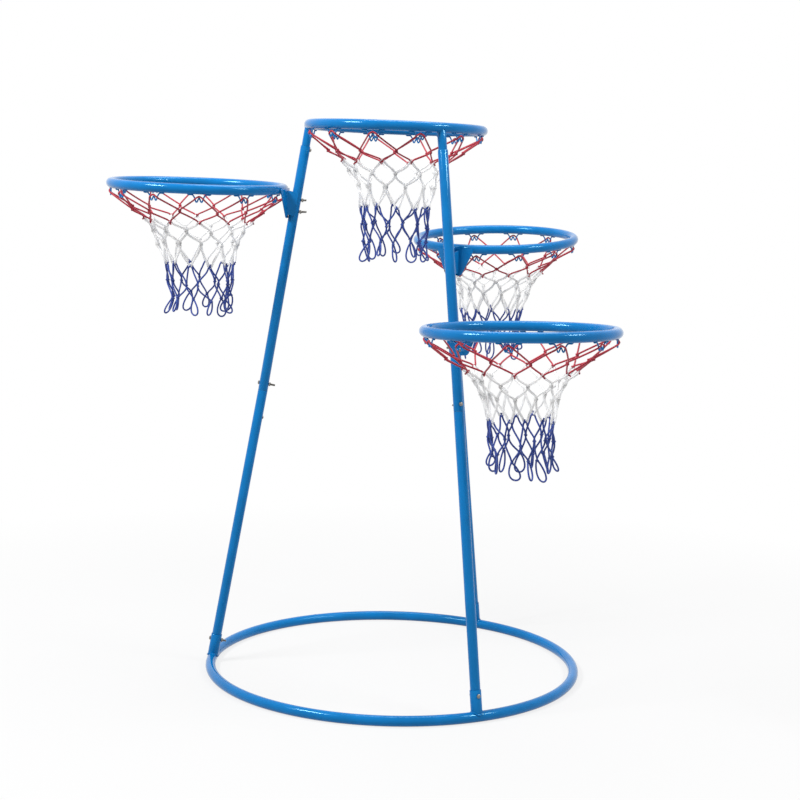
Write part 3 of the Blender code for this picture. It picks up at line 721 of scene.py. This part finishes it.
def threadedRod(name, low, high, threadFrom):     # threaded from its low end up to threadFrom
    startPiece()
    turns = round((threadFrom - low) / fastener["pitch"])
    groove = 1.0 - 2 * fastener["threadDepth"] / fastener["bolt"]
    bpy.ops.mesh.primitive_circle_add(vertices=fastener["sides"], radius=fastener["bolt"] / 2 * groove,
                                      fill_type="NGON", location=(0.0, 0.0, low))
    rod = settle(current(name), Matrix())
    bpy.ops.object.mode_set(mode="EDIT")
    bpy.ops.mesh.select_all(action="SELECT")
    rise = (threadFrom - low) / (2 * turns + 1)
    for half in range(2 * turns + 1):
        size = 1 / groove if half % 2 == 0 else groove
        bpy.ops.mesh.extrude_region_move(TRANSFORM_OT_translate={"value": (0.0, 0.0, rise)})
        bpy.ops.transform.resize(value=(size, size, 1.0), center_override=(0.0, 0.0, 0.0))
    bpy.ops.mesh.extrude_region_move(TRANSFORM_OT_translate={"value": (0.0, 0.0, high - threadFrom)})
    bpy.ops.mesh.select_all(action="SELECT")
    bpy.ops.mesh.normals_make_consistent(inside=False)
    bpy.ops.object.mode_set(mode="OBJECT")
    return rod


def makeBolt(name, length):     # its head stands on the level Z = 0
    head = hexBlock("head", 0.0, fastener["head"], "oneEnd")
    rod = threadedRod("rod", -length, fastener["intoHead"], -length + fastener["threaded"])
    return joinAll([head, rod], name)


def makeDome(name, width, height):
    startPiece()
    bpy.ops.mesh.primitive_uv_sphere_add(segments=24, ring_count=12, radius=1.0)
    dome = current(name)
    dome.scale = (width / 2, width / 2, height)
    settle(dome, Matrix())
    bpy.ops.object.mode_set(mode="EDIT")
    bpy.ops.mesh.select_all(action="SELECT")
    bpy.ops.mesh.bisect(plane_co=(0.0, 0.0, 0.0), plane_no=(0.0, 0.0, 1.0), use_fill=True, clear_inner=True)
    bpy.ops.object.mode_set(mode="OBJECT")
    return dome


def makeScrew():     # a domed head with a crossed recess
    width, height = fastener["screwHead"], fastener["screwHeight"]
    screw = makeDome("screw", width, height)
    along, across, deep = fastener["recess"]
    for turn in (0.0, math.pi / 2):
        startPiece()
        bpy.ops.mesh.primitive_cube_add(size=1.0, location=(0.0, 0.0, height), rotation=(0.0, 0.0, turn),
                                        scale=(width * along, width * across, height * deep))
        cutWith(screw, settle(current("bar"), Matrix()), "DIFFERENCE")
    return screw


def squareTo(spot, level, outward):     # a frame with Z square through the leg
    return frameAt(spot @ Vector((0.0, 0.0, level)), spot.col[0].to_3d() * outward, spot.col[2].to_3d())


def placeFastener(piece, name, spot, level, node):
    copy = copyTo(piece, name, spot @ Matrix.Translation((0.0, 0.0, level)))
    finishPiece(copy, zinc, [node], 30)


def placeOnLeg(side, line, bolt, nut, screw, rivet):
    lower, upper = home @ line["lower"], home @ line["upper"]
    legOut = legTube["outer"] / 2 + stand["play"]
    socketOut = legOut + baseRing["socketWall"] + stand["play"]
    for joint, tube, out in (("socket", lower, socketOut), ("seam", upper, legOut)):
        through = squareTo(tube, fastener[joint + "BoltAt"], 1)
        placeFastener(bolt, f"{joint}Bolt.{side}", through, out, f"{joint}_bolt_{side}")
        placeFastener(nut, f"{joint}Nut.{side}", through, -out, f"{joint}_nut_{side}")
    inward = squareTo(upper, line["upperLength"] - fastener["stubScrewAt"], -1)
    placeFastener(screw, f"stubScrew.{side}", inward, legOut, f"stub_screw_{side}")
    inward = squareTo(lower, line["lowerLength"] - fastener["rivetAt"], -1)
    placeFastener(rivet, f"sleeveRivet.{side}", inward, legOut, f"sleeve_rivet_{side}")


def placeOnBracket(side, line, bolt, nut):     # square through the plate, so askew to the leg
    legOut = legTube["outer"] / 2 + stand["play"]
    plateSpot = hoopPlaces[side]["plate"]
    legAt = plateSpot.inverted() @ hoopPlaces[side]["atLeg"].translation
    legUp = plateSpot.to_3x3().inverted() @ (line["head"] - line["knee"]).normalized()
    back = -legOut / legUp.z + fastener["flats"] / math.sqrt(3) * legUp.x / legUp.z
    for which, drop in fastener["bracketBolts"].items():
        point = legAt - legUp * ((legAt.z + drop) / legUp.z)
        through = home @ plateSpot @ frameAt(point, Vector((1.0, 0.0, 0.0)), Vector((0.0, 0.0, 1.0)))
        front = plate["thick"] + stand["play"] - point.x
        placeFastener(bolt, f"bracketBolt.{side}.{which}", through, front, f"bracket_bolt_{side}_{which}")
        placeFastener(nut, f"bracketNut.{side}.{which}", through, back, f"bracket_nut_{side}_{which}")


def makeFasteners():
    bolt, longBolt = makeBolt("bolt", fastener["shortBolt"]), makeBolt("longBolt", fastener["longBolt"])
    nut = hexBlock("nut", -fastener["nut"], 0.0, "bothEnds")
    screw = makeScrew()
    rivet = makeDome("rivet", fastener["rivetHead"], fastener["rivetHeight"])
    for side, line in legLines.items():
        placeOnLeg(side, line, bolt, nut, screw, rivet)
        placeOnBracket(side, line, longBolt, nut)
    discard([bolt, longBolt, nut, screw, rivet])


makeFasteners()
print("fasteners made")


# Nets: rows of knots under each hoop, and three bands of cord that run from row to row
net = {
    "bands": {
        "red": {"rows": (0, 2), "knots": (1, 2), "tails": (2,), "thick": 0.0046, "knot": 1.49,
                "ease": 0.0, "bow": 0.012, "sag": 0.0, "tailLift": -0.8},
        "white": {"rows": (2, 5), "knots": (3, 4), "tails": (), "thick": 0.0062, "knot": 1.18,
                  "ease": 0.55, "bow": 0.045, "sag": 0.03},
        "navy": {"rows": (5, 7), "knots": (5, 6, 7), "tails": (5,), "thick": 0.0047, "knot": 1.49,
                 "ease": 0.80, "bow": 0.050, "sag": 0.03, "tailLift": 0.8},
    },                              # ease is how steeply a cord leaves its knots
    "rows": (                       # slope is how far a row follows the hoop's tilt
        {"drop": 0.019, "radius": 0.236, "slope": 1.0, "slack": 0.0},
        {"drop": 0.066, "radius": 0.186, "slope": 0.9, "slack": 0.0035},
        {"drop": 0.094, "radius": 0.149, "slope": 0.85, "slack": 0.0035},
        {"drop": 0.122, "radius": 0.130, "slope": 0.60, "slack": 0.0050},
        {"drop": 0.160, "radius": 0.110, "slope": 0.30, "slack": 0.0055},
        {"drop": 0.218, "radius": 0.097, "slope": 0.0, "slack": 0.0060},
        {"drop": 0.266, "radius": 0.091, "slope": 0.0, "slack": 0.0080},
        {"drop": 0.310, "radius": 0.085, "slope": 0.0, "slack": 0.0088},
    ),
    "outSlack": 0.7,                # of the slack, in and out
    "hangs": {                      # waist is how far in a net hangs, lean how far it leans over
        "top": {"seed": 3, "waist": 0.97, "lean": (0.004, 0.006)},
        "left": {"seed": 11, "waist": 1.0, "lean": (0.010, 0.0)},
        "front": {"seed": 23, "waist": 0.87, "lean": (0.013, -0.004)},
        "back": {"seed": 37, "waist": 0.95, "lean": (-0.006, 0.004)},
    },
    "waistFrom": 0.05, "waistOver": 0.11, "leanFrom": 0.06, "leanOver": 0.25,   # drops
    "spacing": 0.0036,              # of the points along a cord
    "between": (0.14, 0.28, 0.42, 0.58, 0.72, 0.86),            # shares of a free stretch
    "knotRing": 0.44, "knotShape": (1.15, 0.85, 1.25), "knotTurn": 0.5,
}
# Round the back of a hook: share of the reach behind it, along the tube, down from its crest
hookPath = ((0.2, 0.0125, 0.0060), (0.9, 0.0105, 0.0025), (1.0, 0.0050, -0.0005))
# Two cords linked at a change of colour, and two that cross in a knot: shares of the cord or metres
link = {"out": 0.52, "reach": 0.0052, "near": 0.6, "into": 0.0005, "back": 0.0024}
crossing = {"out": 0.46, "reach": 0.0038, "near": 0.6, "steep": 0.8}
freeLoop = {
    "long": 0.046, "longer": (0.78, 1.28), "wide": 0.025, "wider": (0.75, 1.3), "fullness": 1.25,
    "turn": 1.2, "out": (-0.25, 0.45), "aside": 0.35, "curl": 0.008, "gap": 0.0018, "points": 15,
    "neck": 0.35,                   # width that the loop keeps at its knot
}
tail = {
    "thin": 0.85, "length": (0.0065, 0.0105), "out": (0.3, 1.0), "aside": 0.6,
    "places": (0.1, 0.4, 0.68, 0.78, 0.92, 1.0),
    "swell": (1.0, 1.0, 0.95, 1.25, 1.25, 0.7),     # the melted end
}


def stepsIn(row):     # knots sit on every other half step, one row between those of the next
    return range(row % 2, 2 * hook["count"], 2)


def outFrom(middle, spot):
    return Vector((spot.x - middle.translation.x, spot.y - middle.translation.y, 0.0)).normalized()


def besideOf(outward):
    return Vector((-outward.y, outward.x, 0.0))


def layOutNet(name):     # where its knots hang, a little unevenly
    middle, start = home @ hoopPlaces[name]["middle"], hoopPlaces[name]["firstHook"]
    hang = net["hangs"][name]
    chance = random.Random(hang["seed"])
    knots = {}
    for row, data in enumerate(net["rows"]):
        slack, drop = data["slack"], data["drop"]
        drawn = 1.0 - (1.0 - hang["waist"]) * min(1.0, max(0.0, drop - net["waistFrom"]) / net["waistOver"])
        sway = max(0.0, drop - net["leanFrom"]) / net["leanOver"]
        for step in stepsIn(row):
            turn = start + step * math.pi / hook["count"]
            turn += chance.uniform(-slack, slack) / data["radius"]
            out = data["radius"] * drawn + chance.uniform(-slack, slack) * net["outSlack"]
            level = middle @ Vector((out * math.cos(turn), out * math.sin(turn), 0.0))
            height = middle.translation.z + (level.z - middle.translation.z) * data["slope"] - drop
            knots[row, step] = Vector((level.x + hang["lean"][0] * sway, level.y + hang["lean"][1] * sway,
                                       height + chance.uniform(-slack, slack)))
    return {"knots": knots, "middle": middle, "start": start, "chance": chance}


def cordRoute(first, last):     # always to the right, down and up again, until it closes
    around = 2 * hook["count"]
    turns = {(first + 1, (first + 1) % 2 + 2 * column)
             for column in range(math.gcd(hook["count"], last - first) - 1)}
    row, step, way = first, first % 2, 1
    route = []
    while True:
        if row == first or ((row, step) in turns and way < 0):
            way = 1
            route.append(("top", row, step))
        elif row == last or (row, step) in turns:
            way = -1
            route.append(("low", row, step))
        else:
            route.append(("down" if way > 0 else "up", row, step))
        row += way
        step = (step + 1) % around
        if (row, step) == (first, first % 2):
            return route


def overHook(middle, turn):     # round the back of the hook, over its crest
    spot = middle @ Matrix.Rotation(turn, 4, "Z") @ Matrix.Translation((stand["hoopRadius"], 0.0, 0.0))
    behind = (hook["wire"] + net["bands"]["red"]["thick"]) / 2
    low = stand["hoopUnder"] + hook["shape"][0][1]
    route = [(share, -along, down) for share, along, down in hookPath] + [(0.4, 0.0, -behind)]
    route += reversed(hookPath)
    return [spot @ Vector((behind * share, along, -low - down)) for share, along, down in route]


def loopEnd(spot, outward, chance):     # turned and curled its own way
    length = freeLoop["long"] * chance.uniform(*freeLoop["longer"])
    wide = freeLoop["wide"] * chance.uniform(*freeLoop["wider"])
    spin = Matrix.Rotation(chance.uniform(-freeLoop["turn"], freeLoop["turn"]), 3, "Z")
    across = spin @ besideOf(outward)
    tip = Vector((0.0, 0.0, -1.0)) + outward * chance.uniform(*freeLoop["out"])
    tip += across * chance.uniform(-freeLoop["aside"], freeLoop["aside"])
    tip.normalize()
    curl = (spin @ outward) * chance.uniform(-freeLoop["curl"], freeLoop["curl"])
    neck, last = freeLoop["neck"], freeLoop["points"] - 1
    points = []
    for index in range(freeLoop["points"]):
        share = index / last
        angle = math.tau * share
        down = length * (1 - math.cos(angle)) / 2
        belly = neck + (1 - neck) * math.sin(math.pi * share) ** 2
        aside = wide / 2 * math.sin(angle) * belly * freeLoop["fullness"]
        points.append(spot + tip * down + across * aside + curl * math.sin(math.pi * share) ** 2
                      + outward * (freeLoop["gap"] * math.cos(math.pi * share)))
    return points


def linkedCord(spot, outward, bundle, thick, way):     # through the loop of the other cord
    side = besideOf(outward) * link["reach"]
    down = bundle if way == "top" else -bundle
    turned = outward * (thick * link["out"] if way == "top" else -thick * link["out"])
    first, last = spot - side, spot + side
    nearFirst, nearLast = spot - side * link["near"], spot + side * link["near"]
    return [first + down * link["reach"] + turned,
            nearFirst + down * link["into"] + turned * link["near"],
            spot - down * link["back"],
            nearLast + down * link["into"] - turned * link["near"],
            last + down * link["reach"] - turned]


def crossingCord(spot, outward, bundle, thick, way):     # one cord on the inner side of the other
    shift = outward * (thick * crossing["out"] if way == "down" else -thick * crossing["out"])
    ahead = bundle * (crossing["reach"] if way == "down" else -crossing["reach"])
    return [spot + shift - ahead, spot + shift * crossing["near"], spot + shift + ahead]


def cordAt(way, row, step, band, laid):     # the cord's points at one hook, knot or loop
    spot = laid["knots"][row, step]
    outward = outFrom(laid["middle"], spot)
    if way == "top" and row == 0:
        return overHook(laid["middle"], laid["start"] + step * math.pi / hook["count"])
    if way == "low" and row == len(net["rows"]) - 1:
        return loopEnd(spot, outward, laid["chance"])
    slant = (spot - laid["knots"][row - 1, (step + 1) % (2 * hook["count"])]).normalized()
    lean = slant.dot(outward)
    bundle = Vector((outward.x * lean, outward.y * lean, -crossing["steep"])).normalized()
    atKnot = linkedCord if way in ("top", "low") else crossingCord
    return atKnot(spot, outward, bundle, net["bands"][band]["thick"], way)


def cordBetween(start, end, rule, chance):     # a free stretch, bowed by chance
    span = end - start
    aside = Vector((span.x, span.y, 0.0)) * rule["ease"]
    sag = Vector((0.0, 0.0, -1.0)) * span.length * rule["sag"]
    bow = Vector((chance.uniform(-1, 1), chance.uniform(-1, 1), chance.uniform(-1, 1))) * span.length
    bow *= rule["bow"]
    points = []
    for share in net["between"]:
        steep = share * share * (3 - 2 * share) - share
        points.append(start + span * share + aside * steep + (sag + bow) * 4 * share * (1 - share))
    return points


def bandPath(band, laid):
    rule = net["bands"][band]
    groups = [cordAt(way, row, step, band, laid) for way, row, step in cordRoute(*rule["rows"])]
    points = []
    for group, following in zip(groups, groups[1:] + groups[:1]):
        points += group
        points += cordBetween(group[-1], following[0], rule, laid["chance"])
    return points


def evenSteps(points, spacing):     # the same closed path, its corners eased
    ring = points + [points[0]]
    lengths = [0.0]
    for a, b in zip(ring, ring[1:]):
        lengths.append(lengths[-1] + (b - a).length)
    total = lengths[-1]
    count = round(total / spacing)
    even, place = [], 0
    for index in range(count):
        along = total * index / count
        while lengths[place + 1] < along:
            place += 1
        share = (along - lengths[place]) / max(lengths[place + 1] - lengths[place], 1e-9)
        even.append(ring[place].lerp(ring[place + 1], share))
    eased = [(even[i - 1] + even[i] * 2 + even[(i + 1) % count]) / 4 for i in range(count)]
    return eased, total


def makeKnot(rule):
    startPiece()
    bpy.ops.mesh.primitive_torus_add(major_radius=rule["thick"] * rule["knot"] / 2,
                                     minor_radius=rule["thick"] * net["knotRing"],
                                     major_segments=9, minor_segments=6)
    ring = current("knot")
    ring.scale = net["knotShape"]
    return settle(ring, Matrix())


def knotsOf(rule, knot, laid):
    parts = []
    for row in rule["knots"]:
        for step in stepsIn(row):
            spot = laid["knots"][row, step]
            outward = outFrom(laid["middle"], spot)
            up = Vector((0.0, 0.0, 1.0)) + outward * net["rows"][row]["slope"]
            roll = laid["chance"].uniform(-net["knotTurn"], net["knotTurn"])
            turned = frameAt(spot, up, outward) @ Matrix.Rotation(roll, 4, "X")
            parts.append(copyTo(knot, "knotCopy", turned))
    return parts


def tailsOf(rule, laid):     # short ends left over at the knots
    chance = laid["chance"]
    parts = []
    for row in rule["tails"]:
        for step in stepsIn(row):
            spot = laid["knots"][row, step]
            outward = outFrom(laid["middle"], spot)
            aim = outward * chance.uniform(*tail["out"]) + Vector((0.0, 0.0, rule["tailLift"]))
            aim += besideOf(outward) * chance.uniform(-tail["aside"], tail["aside"])
            aim.normalize()
            length = chance.uniform(*tail["length"])
            path = [spot + aim * length * share for share in tail["places"]]
            parts.append(wirePiece("tail", path, rule["thick"] * tail["thin"], False, 1, tail["swell"]))
    return parts


def makeNets():
    knots = {band: makeKnot(rule) for band, rule in net["bands"].items()}
    for name in hoopPlaces:
        laid = layOutNet(name)
        for band, rule in net["bands"].items():
            path, length = evenSteps(bandPath(band, laid), net["spacing"])
            parts = [wirePiece("cord", path, rule["thick"], True)]
            parts += knotsOf(rule, knots[band], laid) + tailsOf(rule, laid)
            piece = joinAll(parts, f"{name}Net.{band}")
            finishPiece(piece, makeCordMaterial(band, length), [f"{name}_net_{band}"], 60)
            print(f"{name} net, {band} cord: {length:.2f} m")
    discard(knots.values())


makeNets()
print("nets made")


# Studio: pale floor, white behind, soft lamps
studio = {
    "floor": (0.55, 0.55, 0.555), "floorSize": 60.0, "floorRough": 0.9, "floorShine": 0.1,
    "paleShare": 0.22,              # of the floor's own shading that shows under the stand
    "paleTo": 0.6, "whiteFrom": 2.4,                # metres from the middle of the stand
    "lamps": (
        {"name": "keyLamp", "at": (-3.1, -1.7, 4.2), "size": (1.5, 0.80), "watts": 245.0},
        {"name": "fillLamp", "at": (3.5, -1.6, 4.2), "size": (1.5, 0.80), "watts": 135.0},
        {"name": "topLamp", "at": (0.3, 0.9, 4.8), "size": (2.6, 1.8), "watts": 75.0},
    ),
    "aimHeight": 0.8, "ambient": 0.40,
}
white = (1.0, 1.0, 1.0, 1.0)


def seenDirectly(nodes, links):     # one for camera, glossy and transmission rays
    rays = nodes.new("ShaderNodeLightPath")
    first = addNode(nodes, "ShaderNodeMath", operation="MAXIMUM")
    either = addNode(nodes, "ShaderNodeMath", operation="MAXIMUM")
    connect(links, (
        (rays, "Is Camera Ray", first, 0), (rays, "Is Glossy Ray", first, 1),
        (first, "Value", either, 0), (rays, "Is Transmission Ray", either, 1),
    ))
    return either.outputs["Value"]


def makeFloorMaterial():     # shades under the stand, pure white further out
    material, nodes, links, shader = newMaterial("paleFloor")
    shader.inputs["Base Color"].default_value = (*studio["floor"], 1.0)
    shader.inputs["Roughness"].default_value = studio["floorRough"]
    shader.inputs["Specular IOR Level"].default_value = studio["floorShine"]
    place = nodes.new("ShaderNodeTexCoord")
    apart = addNode(nodes, "ShaderNodeVectorMath", operation="DISTANCE")
    apart.inputs[1].default_value = home.translation
    fade = nodes.new("ShaderNodeMapRange")
    fade.inputs["From Min"].default_value = studio["paleTo"]
    fade.inputs["From Max"].default_value = studio["whiteFrom"]
    fade.inputs["To Min"].default_value = 1.0 - studio["paleShare"]
    glow = addNode(nodes, "ShaderNodeEmission", Color=white, Strength=1.0)
    share = addNode(nodes, "ShaderNodeMath", operation="MULTIPLY")
    connect(links, (
        (place, "Object", apart, 0), (apart, "Value", fade, "Value"), (fade, "Result", share, 0),
    ))
    links.new(seenDirectly(nodes, links), share.inputs[1])
    mixed = showMix(nodes, links, share.outputs["Value"], shader.outputs["BSDF"], glow.outputs["Emission"])
    links.new(mixed, nodes["Material Output"].inputs["Surface"])
    return material


def makeFloor():
    startPiece()
    bpy.ops.mesh.primitive_plane_add(size=studio["floorSize"])
    floor = current("studioFloor")
    floor.data.materials.append(makeFloorMaterial())


def makeLamps():
    target = home @ Vector((0.0, 0.0, studio["aimHeight"]))
    for lamp in studio["lamps"]:
        data = bpy.data.lights.new(lamp["name"], "AREA")
        data.shape = "RECTANGLE"
        data.size, data.size_y = lamp["size"]
        data.energy = lamp["watts"]
        light = bpy.data.objects.new(lamp["name"], data)
        bpy.context.scene.collection.objects.link(light)
        spot = home @ Vector(lamp["at"])
        turn = (target - spot).to_track_quat("-Z", "Y")
        light.matrix_world = Matrix.Translation(spot) @ turn.to_matrix().to_4x4()


def makeWorld():
    world = bpy.data.worlds.new("studioWorld")
    bpy.context.scene.world = world
    world.use_nodes = True
    nodes, links = world.node_tree.nodes, world.node_tree.links
    soft = nodes["Background"]
    soft.inputs["Color"].default_value = white
    soft.inputs["Strength"].default_value = studio["ambient"]
    plain = addNode(nodes, "ShaderNodeBackground", Color=white, Strength=1.0)
    mixed = showMix(nodes, links, seenDirectly(nodes, links),
                    soft.outputs["Background"], plain.outputs["Background"])
    links.new(mixed, nodes["World Output"].inputs["Surface"])


makeFloor()
makeLamps()
makeWorld()
print("studio made")

bpy.context.scene.view_settings.view_transform = "Standard"
